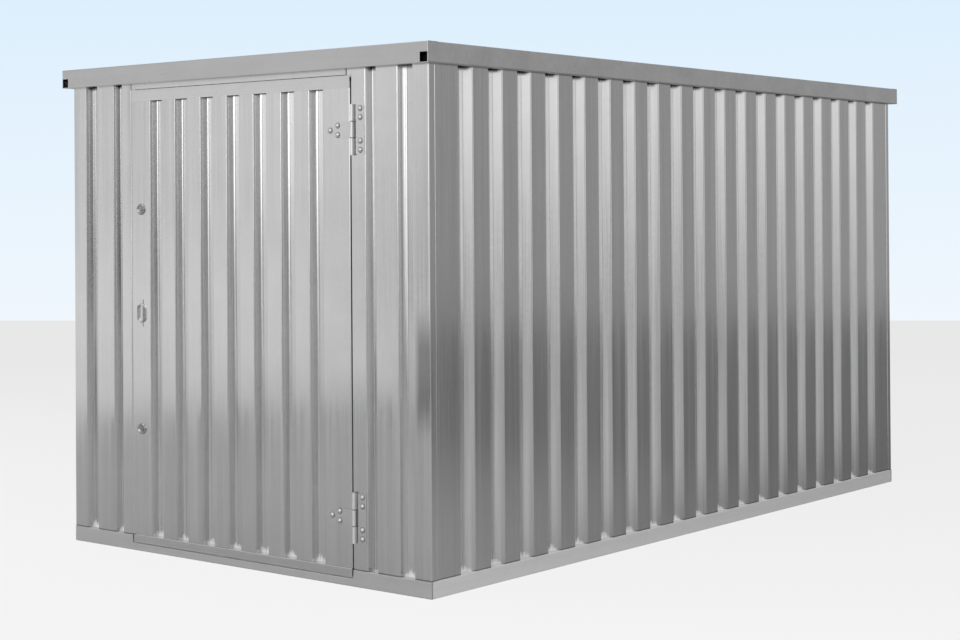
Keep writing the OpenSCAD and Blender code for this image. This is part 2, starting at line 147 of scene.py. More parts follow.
# Its colour is painted shade: darker towards the back, and again far off at the front left
BACK_SHADE = (-1.9, 2.4, 0.56, 0.26)
FRONT_LEFT = (-0.707, -0.707, 0.0)
FRONT_LEFT_SHADE = (6.3, 8.0, 1.0, 0.42)
coat = maths("MULTIPLY", change(spot_y, *BACK_SHADE),
             change(metres_along(FRONT_LEFT), *FRONT_LEFT_SHADE))
paint = add_node(tree, "ShaderNodeBsdfPrincipled",
                 {"Base Color": coat, "Roughness": 0.9, "Specular IOR Level": 0.1})
glow = add_node(tree, "ShaderNodeEmission", {"Color": (1.0, 1.0, 1.0, 1.0), "Strength": 1.0})
blend = add_node(tree, "ShaderNodeMixShader",
                 {0: share, 1: paint.outputs[0], 2: glow.outputs[0]})
add_node(tree, "ShaderNodeOutputMaterial", {"Surface": blend.outputs[0]})
floor_mesh.materials.append(floor_mat)

# ---- Studio light -------------------------------------------------------------------
# Soft daylight that is brighter on the door side and falls away behind the long wall,
# with one broad lamp beside the camera, a weak one on the door side and one over the roof.

world = bpy.data.worlds.new("studio")
bpy.context.scene.world = world
world.use_nodes = True
tree = world.node_tree
tree.nodes.clear()
maths, change = maths_in(tree), change_in(tree, "LINEAR")
toward = add_node(tree, "ShaderNodeTexCoord").outputs["Generated"]
toward = add_node(tree, "ShaderNodeSeparateXYZ", {0: toward}).outputs

SKY_BAND = (-0.06, 0.12)
SKY_COLOURS = ((0.871, 0.930, 0.983, 1), (0.715, 0.860, 0.985, 1))
sky_tint = add_node(tree, "ShaderNodeValToRGB", {0: change(toward["Z"], *SKY_BAND)})
for stop, colour in zip(sky_tint.color_ramp.elements, SKY_COLOURS):
    stop.color = colour
sky = add_node(tree, "ShaderNodeBackground", {"Color": sky_tint.outputs[0]})

# Brightness of the studio by bearing, in degrees from +X towards +Y, at the horizon and
# above it: a broad soft box and a narrow strip light face the door, and beyond the long
# wall it is dim
AT_HORIZON = ((-180, 0.72), (-137, 0.82), (-133, 0.85), (-130.5, 0.61), (-129, 0.45),
              (-126, 0.30), (-122, 0.20), (-114, 0.22), (-110, 1.05), (-98, 1.15), (-92, 1.05),
              (-89, 0.50), (-80, 0.50), (-72, 0.60), (-62, 0.52), (-57, 0.45), (-51, 0.58),
              (-45, 0.42), (-28, 0.26), (-4, 0.24), (6, 0.7), (13, 1.15), (20, 0.7),
              (34, 0.29), (60, 0.33), (68, 0.38), (82, 0.38), (95, 0.85), (180, 0.72))
ABOVE = ((-180, 0.48), (-137, 0.53), (-130, 0.74), (-127, 0.65), (-122, 0.46), (-116, 0.52),
         (-112, 2.2), (-103, 2.0), (-100, 0.75), (-90, 0.8), (-87.5, 3.1), (-80, 3.1),
         (-78, 1.2), (-63, 1.04), (-57, 0.86), (-51, 1.05), (-45, 0.58), (-28, 0.40),
         (-4, 0.40), (6, 0.9), (13, 1.4), (20, 0.8), (34, 0.31), (60, 0.34), (68, 0.42),
         (82, 0.42), (95, 0.85), (180, 0.48))
ABOVE_BAND = (-0.03, 0.055)
CEILING_BAND = (0.35, 0.75)
CEILING_TONE = (0.6, 0.6, 0.6, 1.0)
bearing = maths("ARCTAN2", toward["Y"], toward["X"])
turn = change(bearing, -math.pi, math.pi)


def studio_ring(levels):
    ring = add_node(tree, "ShaderNodeValToRGB", {0: turn})
    stops = ring.color_ramp.elements
    while len(stops) < len(levels):
        stops.new(1.0)
    for stop, (degrees, level) in zip(stops, levels):
        stop.position = (degrees + 180) / 360
        stop.color = (level, level, level, 1)
    return ring.outputs[0]


rings = add_node(tree, "ShaderNodeMix",
                 {0: change(toward["Z"], *ABOVE_BAND), 6: studio_ring(AT_HORIZON),
                  7: studio_ring(ABOVE)}, data_type="RGBA").outputs[2]
overhead = add_node(tree, "ShaderNodeMix",
                    {0: change(toward["Z"], *CEILING_BAND), 6: rings, 7: CEILING_TONE},
                    data_type="RGBA").outputs[2]
studio = add_node(tree, "ShaderNodeBackground", {"Color": overhead, "Strength": 1.0})

# The backdrop stands behind the store, and the metal shows it there as the eye sees it
BACKDROP_MIDDLE, BACKDROP_HALF = math.radians(122), math.radians(27)
rays = add_node(tree, "ShaderNodeLightPath").outputs
mirrored = maths("MULTIPLY", maths("COMPARE", bearing, BACKDROP_MIDDLE, BACKDROP_HALF),
                 rays["Is Glossy Ray"])
blend = add_node(tree, "ShaderNodeMixShader",
                 {0: maths("MAXIMUM", rays["Is Camera Ray"], mirrored),
                  1: studio.outputs[0], 2: sky.outputs[0]})
add_node(tree, "ShaderNodeOutputWorld", {"Surface": blend.outputs[0]})


def soft_lamp(name, place, aim, width, height, watts):
    data = bpy.data.lights.new(name, "AREA")
    data.shape = "RECTANGLE"
    data.size = width
    data.size_y = height
    data.energy = watts
    lamp = bpy.data.objects.new(name, data)
    bpy.context.scene.collection.objects.link(lamp)
    lamp.location = place
    lamp.rotation_euler = (Vector(aim) - Vector(place)).to_track_quat("-Z", "Y").to_euler()


soft_lamp("camera_side_lamp", (6.5, -9.5, 5.2), (0.5, -1.0, 1.2), 5.0, 1.6, 36)
soft_lamp("door_side_lamp", (-7.0, -8.5, 3.4), (-0.3, -2.0, 1.2), 4.0, 3.0, 4.5)
soft_lamp("roof_lamp", (-1.0, -3.0, 7.5), (0.0, -1.0, 0.0), 6.0, 6.0, 60)
bpy.context.scene.view_settings.view_transform = "Standard"

# ---- Galvanised wall panels ---------------------------------------------------------
# Thin sheet, dipped in zinc and roll-formed with the ribs upright, so the fine rolling
# streaks run up the wall and the zinc crystals show as a faint patchwork.

WALL_FACE = (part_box("right_wall_panel_1")[1][0], -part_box("front_wall_right")[0][1])
LEDGE_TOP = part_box("base_front_rail")[1][2]
EAVES_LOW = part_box("roof_edge_front")[0][2]
LOCK_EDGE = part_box("door_skin")[0][0]

# Streaks, crystals and clouds to the metre, and each streak's share
FINE_STREAKS, BROAD_STREAKS, CRYSTALS, CLOUDS = 260.0, 34.0, 60.0, 7.0
FINE_SHARE, BROAD_SHARE = 0.9, 1.1
# How much each of them, and the painted glow of light off the ledge, roughen the sheet
STREAK_ROUGH, CRYSTAL_ROUGH, CLOUD_ROUGH, GLOW_ROUGH = 0.9, 0.8, -0.6, 0.5

# Depth behind the wall's face at which a valley's marks begin, and are full
VALLEY_DEPTH = (0.008, 0.022)
FLOOR_DEPTH = (0.012, 0.026)
# How far in from the end walls' face their own sheet reaches
END_WALL_DEPTH = 0.04
# The narrow valley that the hinges shelter: its middle, and half its width
SHELTERED_X, SHELTERED_HALF = 0.75, 0.045
# Heights between which a mark fades in, and how strong it is
# Painted shade in the valleys just below the roof edge
EAVES_SHADE, EAVES_SHADE_DARK = (EAVES_LOW - 0.018, EAVES_LOW - 0.004), 0.6
# A painted shadow line on the crests just above the ledge, where the sheet stands on it
FOOT_SHADOW, FOOT_SHADOW_DARK = (LEDGE_TOP + 0.0065, LEDGE_TOP + 0.0025), 0.55
VEIL, VEIL_PALE = (1.0, 0.3), 0.16
# Painted shade in the end walls' valleys at mid height
MID_SHADE_TOP, MID_SHADE_FOOT, MID_SHADE_DARK = (1.7, 1.2), (0.3, 0.65), 0.08
# More painted shade in the end walls' valleys past the door's lock side, from waist height up
BESIDE_LOCK, BESIDE_DARK = (0.9, 1.3), 0.14
# A painted shadow on the strip of wall along the gap at the door's lock side
LOCK_GAP, LOCK_GAP_DARK = (1.2, 1.9), 0.35
LOCK_GAP_WIDTH = 0.013
# The painted glow of light off the ledge, white and matt: its heights, how far a tongue and each
# place lifts or lowers it, and the patches that leave some of the sheet with half of it
LEDGE_GLOW = (LEDGE_TOP + 0.004, LEDGE_TOP - 0.030)
TONGUES, TONGUE_LIFT = 70.0, 0.045
END_LIFT, SHELTER_DROP, DEPTH_LIFT = 0.008, 0.022, 0.9
GLOW_PATCHES, GLOW_BAND, GLOW_SHARE = 130.0, (0.34, 0.50), 0.5
GLOW_CONTRAST = 1.4
GLOW_WHITE = (0.98, 0.98, 0.98, 1)


def galvanised_group():
    """Colour, roughness, metal and height of zinc-dipped sheet. Grain carries a vector that
    is already squeezed along the rolling direction; Place is in metres. The last input sets how
    strongly the sheet is marked: a painted glow of light off the ledge, white and matt, low in
    the valleys; a pale veil in the lower valleys; painted shade in the end walls' valleys at mid
    height and past the door's lock side, and below the roof edge; and a painted shadow line
    where the sheet stands on the ledge and along the gap at the door's lock side."""
    group = bpy.data.node_groups.new("galvanised_zinc", "ShaderNodeTree")
    face = group.interface
    for name, kind, value in (
            ("Grain", "NodeSocketVector", None), ("Place", "NodeSocketVector", None),
            ("Zinc", "NodeSocketColor", (0.74, 0.745, 0.75, 1)),
            ("Streak", "NodeSocketFloat", 0.22), ("Spangle", "NodeSocketFloat", 0.02),
            ("Clouding", "NodeSocketFloat", 0.08), ("Gloss", "NodeSocketFloat", 0.2),
            ("Weather_and_light", "NodeSocketFloat", 0.0)):
        socket = face.new_socket(name, in_out="INPUT", socket_type=kind)
        if value is not None:
            socket.default_value = value
    for name, kind in (("Color", "NodeSocketColor"), ("Roughness", "NodeSocketFloat"),
                       ("Metallic", "NodeSocketFloat"), ("Height", "NodeSocketFloat")):
        face.new_socket(name, in_out="OUTPUT", socket_type=kind)
    given = group.nodes.new("NodeGroupInput").outputs
    maths, ramp = maths_in(group), change_in(group, "SMOOTHSTEP")

    def times(a, b):
        return maths("MULTIPLY", a, b)

    def plus(a, b):
        return maths("ADD", a, b)

    def minus(a, b):
        return maths("SUBTRACT", a, b)

    def noise(vector, scale, detail):
        return add_node(group, "ShaderNodeTexNoise", {"Vector": vector, "Scale": scale,
                                                      "Detail": detail}).outputs["Fac"]

    # The clean sheet: fine and broad rolling streaks, crystals and slow clouds
    fine = noise(given["Grain"], FINE_STREAKS, 3.0)
    broad = noise(given["Grain"], BROAD_STREAKS, 2.0)
    cloud = noise(given["Place"], CLOUDS, 4.0)
    crystals = add_node(group, "ShaderNodeTexVoronoi",
                        {"Vector": given["Place"], "Scale": CRYSTALS})
    crystal = add_node(group, "ShaderNodeSeparateColor", {0: crystals.outputs["Color"]})
    streak = plus(times(minus(fine, 0.5), FINE_SHARE), times(minus(broad, 0.5), BROAD_SHARE))
    streak = times(streak, given["Streak"])
    flake = times(minus(crystal.outputs[0], 0.5), given["Spangle"])
    dull = times(minus(cloud, 0.5), given["Clouding"])
    tone = plus(plus(plus(streak, flake), dull), 1.0)

    # Where on the store this spot is
    x, y, z = add_node(group, "ShaderNodeSeparateXYZ", {0: given["Place"]}).outputs
    depth = maths("MINIMUM", minus(WALL_FACE[0], maths("ABSOLUTE", x)),
                  minus(WALL_FACE[1], maths("ABSOLUTE", y)))
    valley = times(ramp(depth, *VALLEY_DEPTH), given["Weather_and_light"])
    on_floor = times(ramp(depth, *FLOOR_DEPTH), given["Weather_and_light"])
    at_end = maths("GREATER_THAN", maths("ABSOLUTE", y), WALL_FACE[1] - END_WALL_DEPTH)
    sheltered = maths("LESS_THAN", maths("ABSOLUTE", minus(x, SHELTERED_X)), SHELTERED_HALF)
    past_lock = maths("LESS_THAN", x, LOCK_EDGE)

    # The painted glow of light off the ledge climbs in uneven tongues, higher at the end walls and
    # deep in a valley, and less where the hinges shelter it
    tongues = times(minus(noise(given["Grain"], TONGUES, 1.0), 0.5), TONGUE_LIFT)
    reach = minus(minus(z, tongues), times(at_end, END_LIFT))
    reach = plus(reach, times(times(sheltered, at_end), SHELTER_DROP))
    reach = minus(reach, times(depth, DEPTH_LIFT))
    patches = ramp(noise(given["Grain"], GLOW_PATCHES, 1.0), *GLOW_BAND)
    ledge_glow = times(ramp(reach, *LEDGE_GLOW), plus(times(patches, GLOW_SHARE), 1.0 - GLOW_SHARE))
    ledge_glow = times(maths("POWER", ledge_glow, GLOW_CONTRAST), on_floor)

    veil = times(times(times(minus(1.0, at_end), ramp(z, *VEIL)), valley), VEIL_PALE)
    # Painted shade in the valleys below the roof edge
    eaves_shade = times(valley, ramp(z, *EAVES_SHADE))
    # A painted shadow line on the crests where the sheet stands on the ledge
    foot_shadow = times(minus(given["Weather_and_light"], valley), ramp(z, *FOOT_SHADOW))
    # Painted shade in the end walls' valleys at mid height
    mid_valley_shade = times(times(ramp(z, *MID_SHADE_TOP), ramp(z, *MID_SHADE_FOOT)), times(valley, at_end))
    # More painted shade in the valleys past the door's lock side
    beside = times(valley, times(past_lock, times(ramp(z, *BESIDE_LOCK), at_end)))
    # A painted shadow along the gap at the door's lock side
    gap = times(past_lock, maths("GREATER_THAN", x, LOCK_EDGE - LOCK_GAP_WIDTH))
    gap = times(times(times(gap, at_end), given["Weather_and_light"]), ramp(z, *LOCK_GAP))
    dark = plus(times(eaves_shade, EAVES_SHADE_DARK), times(foot_shadow, FOOT_SHADOW_DARK))
    dark = plus(plus(dark, times(mid_valley_shade, MID_SHADE_DARK)), times(beside, BESIDE_DARK))
    dark = plus(dark, times(gap, LOCK_GAP_DARK))
    tone = times(tone, plus(minus(1.0, dark), veil))

    colour = add_node(group, "ShaderNodeVectorMath", {0: given["Zinc"], "Scale": tone},
                      operation="SCALE").outputs[0]
    # Painted light: the glow off the ledge turns the sheet white and matt
    colour = add_node(group, "ShaderNodeMix", {0: ledge_glow, 6: colour, 7: GLOW_WHITE},
                      data_type="RGBA").outputs[2]
    rough = plus(given["Gloss"], times(streak, STREAK_ROUGH))
    rough = plus(plus(rough, times(flake, CRYSTAL_ROUGH)), times(dull, CLOUD_ROUGH))
    rough = plus(rough, times(ledge_glow, GLOW_ROUGH))
    add_node(group, "NodeGroupOutput",
             {"Color": colour, "Roughness": rough, "Metallic": minus(1.0, ledge_glow),
              "Height": plus(times(fine, 0.3), broad)})
    return group


zinc = galvanised_group()


def zinc_sheet(name, squeeze, gloss=0.17, streak=0.22, spangle=0.02, tone=0.745,
               clouding=0.08, weather_and_light=0.0):
    """A galvanised finish. Squeeze scales the grain's place along X, Y and Z: the small
    number is the direction in which the sheet was rolled."""
    made = bpy.data.materials.new(name)
    made.use_nodes = True
    tree = made.node_tree
    place = add_node(tree, "ShaderNodeTexCoord").outputs["Object"]
    grain = add_node(tree, "ShaderNodeMapping", {"Vector": place, "Scale": squeeze}).outputs[0]
    effect = add_node(tree, "ShaderNodeGroup", node_tree=zinc)
    for socket, value in (("Zinc", (tone, tone, tone, 1)), ("Streak", streak),
                          ("Spangle", spangle), ("Clouding", clouding), ("Gloss", gloss),
                          ("Weather_and_light", weather_and_light)):
        effect.inputs[socket].default_value = value
    tree.links.new(grain, effect.inputs["Grain"])
    tree.links.new(place, effect.inputs["Place"])
    relief = add_node(tree, "ShaderNodeBump", {"Strength": 0.012, "Distance": 0.001,
                                               "Height": effect.outputs["Height"]})
    shader = tree.nodes["Principled BSDF"]
    tree.links.new(effect.outputs["Color"], shader.inputs["Base Color"])
    tree.links.new(effect.outputs["Roughness"], shader.inputs["Roughness"])
    if weather_and_light:
        tree.links.new(effect.outputs["Metallic"], shader.inputs["Metallic"])
    else:
        shader.inputs["Metallic"].default_value = 1.0
    tree.links.new(relief.outputs[0], shader.inputs["Normal"])
    return made


def finish_nodes(material, *names):
    for name in names:
        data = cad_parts[name].data
        data.materials.clear()
        data.materials.append(material)


PANELS = range(1, 5)
ALONG_X, ALONG_Y, ALONG_Z = (0.012, 1.0, 1.0), (1.0, 0.012, 1.0), (1.0, 1.0, 0.012)
wall_zinc = zinc_sheet("wall_zinc", ALONG_Z, weather_and_light=1.0)
finish_nodes(wall_zinc, *[f"{side}_wall_panel_{i}" for side in ("left", "right") for i in PANELS],
             "rear_wall_left", "rear_wall_right", "front_wall_left")


def rounded_bend_group():
    """Height of a fillet in metres: it grows from nothing, at Width from the bend, to Rise."""
    group = bpy.data.node_groups.new("rounded_bend", "ShaderNodeTree")
    for name in ("Distance", "Width", "Rise"):
        group.interface.new_socket(name, in_out="INPUT", socket_type="NodeSocketFloat")
    group.interface.new_socket("Height", in_out="OUTPUT", socket_type="NodeSocketFloat")
    given = group.nodes.new("NodeGroupInput").outputs
    maths, change = maths_in(group), change_in(group, "LINEAR")
    nearness = change(given["Distance"], given["Width"], 0.0)
    height = maths("MULTIPLY", maths("POWER", nearness, 2.0), given["Rise"])
    add_node(group, "NodeGroupOutput", {"Height": height})
    return group


rounded_bend = rounded_bend_group()


def rounded(tree, distance, width, rise):
    return add_node(tree, "ShaderNodeGroup", {"Distance": distance, "Width": width,
                                              "Rise": rise}, node_tree=rounded_bend).outputs[0]


def spot_in(tree):
    """The X, Y and Z of each spot of a galvanised finish, in metres."""
    place = tree.nodes["Texture Coordinate"].outputs["Object"]
    return add_node(tree, "ShaderNodeSeparateXYZ", {0: place}).outputs


def fold(tree, height):
    """Turns the sheet's face as a fold of this height, in metres, would."""
    slope = add_node(tree, "ShaderNodeBump", {"Strength": 1.0, "Distance": 1.0,
                                              "Height": height})
    tree.links.new(slope.outputs[0], tree.nodes["Bump"].inputs["Normal"])


def shade(tree, level):
    """Multiplies the sheet's own colour by this level."""
    shaded = add_node(tree, "ShaderNodeVectorMath",
                      {0: tree.nodes["Group"].outputs["Color"], "Scale": level},
                      operation="SCALE")
    tree.links.new(shaded.outputs[0], tree.nodes["Principled BSDF"].inputs["Base Color"])


# The valley beside the corner has a rounder bend, which reaches up its side and over its
# floor. The floor of every front valley is 30 mm deep.
FRONT_FLOOR = -WALL_FACE[1] + 0.030
CORNER_VALLEY_X, CORNER_VALLEY_HALF = 0.935, 0.06
CORNER_BEND_X = 0.9088
SIDE_WIDTH, SIDE_RISE = 0.0185, 0.0102
FLOOR_WIDTH, FLOOR_RISE = 0.014, 0.0024
corner_zinc = zinc_sheet("corner_zinc", ALONG_Z, weather_and_light=1.0)
tree = corner_zinc.node_tree
maths, fade = maths_in(tree), change_in(tree, "SMOOTHSTEP")
x, y, z = spot_in(tree)
up_the_side = rounded(tree, maths("SUBTRACT", FRONT_FLOOR, y), SIDE_WIDTH, SIDE_RISE)
over_the_floor = rounded(tree, maths("SUBTRACT", x, CORNER_BEND_X), FLOOR_WIDTH, FLOOR_RISE)
in_valley = maths("COMPARE", x, CORNER_VALLEY_X, CORNER_VALLEY_HALF)
fold(tree, maths("MULTIPLY_ADD", up_the_side, in_valley, over_the_floor))

# The flat beside the corner is darker at waist height
WAIST, PATCH_REACH = 0.875, (0.29, 0.07)
PATCH_DARKNESS = 0.56
corner_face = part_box("front_wall_right")[1][0]
FLAT_START, FLAT_STOP = (0.962, 1.004), (corner_face - 0.0005, corner_face - 0.0045)
on_flat = maths("MULTIPLY", fade(x, *FLAT_START), fade(x, *FLAT_STOP))
from_waist = maths("ABSOLUTE", maths("SUBTRACT", z, WAIST))
patch = maths("MULTIPLY", on_flat, fade(from_waist, *PATCH_REACH))
shade(tree, maths("SUBTRACT", 1.0, maths("MULTIPLY", patch, PATCH_DARKNESS)))
finish_nodes(corner_zinc, "front_wall_right")

# The corner returns end in a thin folded hem that stands proud of the long walls. Its
# outline is given as the distance out from the wall and along it.
HEM = ((-0.0030, 0.0030), (0.0002, -0.0024), (0.0016, -0.0017), (0.0016, 0.0006))
HEM_FROM_CORNER = 0.0365
HEM_SUNK = 0.0004
HEM_END_GAP = 0.0005
hem_y = WALL_FACE[1] - HEM_FROM_CORNER
hem_points, hem_faces = [], []
for side in (-1, 1):
    for end in (-1, 1):
        first = len(hem_points)
        for level in (LEDGE_TOP + HEM_END_GAP, EAVES_LOW - HEM_END_GAP):
            hem_points += [(side * (corner_face + out_by - HEM_SUNK), end * (hem_y - along), level)
                           for out_by, along in HEM]
        ring = [[first + i, first + (i + 1) % 4, first + 4 + (i + 1) % 4, first + 4 + i]
                for i in range(4)]
        ring += [[first + i for i in (3, 2, 1, 0)], [first + 4 + i for i in range(4)]]
        hem_faces += ring if side * end < 0 else [face[::-1] for face in ring]
hem_mesh = bpy.data.meshes.new("corner_hems")
hem_mesh.from_pydata(hem_points, [], hem_faces)
hem_mesh.materials.append(wall_zinc)
corner_hems = bpy.data.objects.new("corner_hems", hem_mesh)
bpy.context.scene.collection.objects.link(corner_hems)
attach(corner_hems, "store")

# ---- Base rails ---------------------------------------------------------------------
# Thicker plate, folded into channels and joined at the corners, with a duller and coarser
# zinc coat. The bearers between the long rails are the same.

# The long rails' zinc is painted lighter and the end rails' darker: lit and shaded copies of one
# coat
rail_x = zinc_sheet("rail_zinc_across_shaded", ALONG_X, gloss=0.5, streak=0.10, tone=0.69)
rail_y = zinc_sheet("rail_zinc_along_lit", ALONG_Y, gloss=0.75, streak=0.10, tone=1.0)
finish_nodes(rail_x, "base_front_rail", "base_rear_rail", "floor_bearers")
finish_nodes(rail_y, "base_left_rail", "base_right_rail")

# ---- Floor boards -------------------------------------------------------------------
# Plywood sheets laid across the bearers and screwed to them, left unfinished. Their face
# grain runs along the store.

WOOD_TONES = ((0.32, (0.30, 0.18, 0.09, 1)), (0.68, (0.56, 0.39, 0.22, 1)))
ply = bpy.data.materials.new("floor_plywood")
ply.use_nodes = True
tree = ply.node_tree
place = add_node(tree, "ShaderNodeTexCoord").outputs["Object"]
grain = add_node(tree, "ShaderNodeMapping", {"Vector": place, "Scale": (14.0, 0.9, 14.0)})
figure = add_node(tree, "ShaderNodeTexNoise",
                  {"Vector": grain.outputs[0], "Scale": 2.2, "Detail": 8.0,
                   "Distortion": 1.2}).outputs["Fac"]
tint = add_node(tree, "ShaderNodeValToRGB", {0: figure})
for stop, (position, colour) in zip(tint.color_ramp.elements, WOOD_TONES):
    stop.position = position
    stop.color = colour
relief = add_node(tree, "ShaderNodeBump", {"Strength": 0.15, "Distance": 0.001,
                                           "Height": figure})
shader = tree.nodes["Principled BSDF"]
shader.inputs["Roughness"].default_value = 0.7
tree.links.new(tint.outputs[0], shader.inputs["Base Color"])
tree.links.new(relief.outputs[0], shader.inputs["Normal"])
finish_nodes(ply, "floor_board_1", "floor_board_2", "floor_board_3")

# ---- Roof ---------------------------------------------------------------------------
# The same ribbed sheet laid across, inside a folded edge channel that runs all round and
# is riveted at its corners.

roof_zinc = zinc_sheet("roof_zinc", ALONG_X)
edge_x = zinc_sheet("edge_zinc_across", ALONG_X, gloss=0.3, streak=0.08, tone=0.60)
edge_y = zinc_sheet("edge_zinc_along", (1.0, 0.3, 0.3), gloss=0.42, streak=0.10, tone=0.72,
                    spangle=0.05, clouding=0.3)
finish_nodes(roof_zinc, *[f"roof_panel_{i}" for i in PANELS])
finish_nodes(edge_x, "roof_edge_front", "roof_edge_rear")
finish_nodes(edge_y, "roof_edge_left", "roof_edge_right")

# ---- Door ---------------------------------------------------------------------------
# A ribbed skin between folded top and bottom rails, stiffened inside both edges. The bend
# at the lock side of each valley's floor is soft, and the floors are painted lighter towards
# the hinges and the top, a painted sheen.

FIRST_FLOOR_X = LOCK_EDGE + 0.130
RIB_PITCH = 0.160
NEAR_FLOOR = (FRONT_FLOOR - 0.006, FRONT_FLOOR - 0.001)
SHEEN_X, SHEEN_Z = (-0.35, 0.05), (1.1, 2.0)
SHEEN_GAIN = 0.28
door_zinc = zinc_sheet("door_zinc", ALONG_Z, weather_and_light=1.0)
tree = door_zinc.node_tree
maths, fade = maths_in(tree), change_in(tree, "SMOOTHSTEP")
x, y, z = spot_in(tree)
past_bend = maths("FLOORED_MODULO", maths("SUBTRACT", x, FIRST_FLOOR_X), RIB_PITCH)
sunk = fade(y, *NEAR_FLOOR)
fold(tree, maths("MULTIPLY", rounded(tree, past_bend, FLOOR_WIDTH, FLOOR_RISE), sunk))
# Painted sheen: the valley floors lighter towards the hinges and the top
floor_sheen = maths("MULTIPLY", maths("MULTIPLY", fade(x, *SHEEN_X), fade(z, *SHEEN_Z)), sunk)
shade(tree, maths("MULTIPLY_ADD", floor_sheen, SHEEN_GAIN, 1.0))
finish_nodes(door_zinc, "door_skin")

stile_zinc = zinc_sheet("stile_zinc", ALONG_Z)
finish_nodes(stile_zinc, "door_post_left", "door_post_right", "door_lock_stile",
             "door_hinge_stile")
door_rail = zinc_sheet("door_rail_zinc", ALONG_X, gloss=0.25, streak=0.12)
finish_nodes(door_rail, "door_head", "door_top_rail", "door_bottom_rail")

# ---- Door furniture and hinges ------------------------------------------------------
# Cast and pressed steel with a bright zinc plate, finer and glossier than the sheet. The
# hinges are bolted on, and the pull and the locks are fixed to the skin.

EVEN = (1.0, 1.0, 1.0)
plated = zinc_sheet("bright_plate", EVEN, gloss=0.22, streak=0.04, spangle=0.0, tone=0.75)
finish_nodes(plated, "door_handle")

hinge_zinc = zinc_sheet("hinge_zinc", EVEN, gloss=0.22, streak=0.04, spangle=0.0, tone=0.75)
tree = hinge_zinc.node_tree
maths = maths_in(tree)
x, y, z = spot_in(tree)
zinc_out = tree.nodes["Group"].outputs
barrel_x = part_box("upper_hinge_strap")[1][0]
centres = [sum(corner[2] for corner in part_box(side + "_hinge_strap")) / 2
           for side in ("upper", "lower")]
off_centre = maths("MINIMUM", *[maths("ABSOLUTE", maths("SUBTRACT", z, centre))
                                for centre in centres])

# Faces that look up or down, such as the plates' edges, and the gap beside the barrel are
# painted dark: painted shade for the shadow lines along them. The gap is wider along the
# middle knuckle.
KNUCKLE_HALF = 0.033
GAP_START, GAP_END, MIDDLE_GAP = 0.0005, 0.0040, 0.0025
EDGE_ON = 0.7
SHADE_AND_JOINT_GREY = (0.17, 0.17, 0.175, 1)
normal = tree.nodes["Texture Coordinate"].outputs["Normal"]
facing_up = add_node(tree, "ShaderNodeSeparateXYZ", {0: normal}).outputs["Z"]
edge = maths("GREATER_THAN", maths("ABSOLUTE", facing_up), EDGE_ON)
beside_middle = maths("LESS_THAN", off_centre, KNUCKLE_HALF)
gap_end = maths("ADD", maths("MULTIPLY", beside_middle, MIDDLE_GAP), barrel_x + GAP_END)
gap_shade = maths("MULTIPLY", maths("GREATER_THAN", x, barrel_x + GAP_START),
             maths("LESS_THAN", x, gap_end))

# The barrel is turned, so it is coarser than the pressed plates, and it is painted whiter, a
# painted highlight along it, with a dark line at each joint of its knuckles
BARREL_CENTRE, BARREL_HALF = barrel_x - 0.009, 0.0088
JOINT_HALF = 0.0016
BARREL_HIGHLIGHT, COARSER = (0.88, 0.88, 0.88, 1), 0.18
barrel = maths("LESS_THAN", maths("ABSOLUTE", maths("SUBTRACT", x, BARREL_CENTRE)), BARREL_HALF)
joint = maths("LESS_THAN", maths("ABSOLUTE", maths("SUBTRACT", off_centre, KNUCKLE_HALF)),
              JOINT_HALF)
# Painted shade on the edges and in the gap, and dark lines at the knuckle joints
shade_and_joints = maths("MAXIMUM", maths("MAXIMUM", edge, maths("MULTIPLY", barrel, joint)), gap_shade)
colour = add_node(tree, "ShaderNodeMix", {0: barrel, 6: zinc_out["Color"], 7: BARREL_HIGHLIGHT},
                  data_type="RGBA").outputs[2]
colour = add_node(tree, "ShaderNodeMix", {0: shade_and_joints, 6: colour, 7: SHADE_AND_JOINT_GREY},
                  data_type="RGBA").outputs[2]
rough = maths("ADD", zinc_out["Roughness"], maths("MULTIPLY", barrel, COARSER))
shader = tree.nodes["Principled BSDF"]
tree.links.new(colour, shader.inputs["Base Color"])
tree.links.new(rough, shader.inputs["Roughness"])
finish_nodes(hinge_zinc, "upper_hinge_strap", "lower_hinge_strap", "upper_hinge_plate",
             "lower_hinge_plate")

lock_metal = zinc_sheet("lock_metal", EVEN, gloss=0.16, streak=0.04, spangle=0.0, tone=0.48)
finish_nodes(lock_metal, "upper_lock", "lower_lock")

# ---- Bolts, rivets and screws -------------------------------------------------------
# Domed coach bolts through the hinges, pop rivets in the roof edge, hexagon bolts and nuts
# in the panels' inner flanges, and flat screws that hold the boards to the bearers.


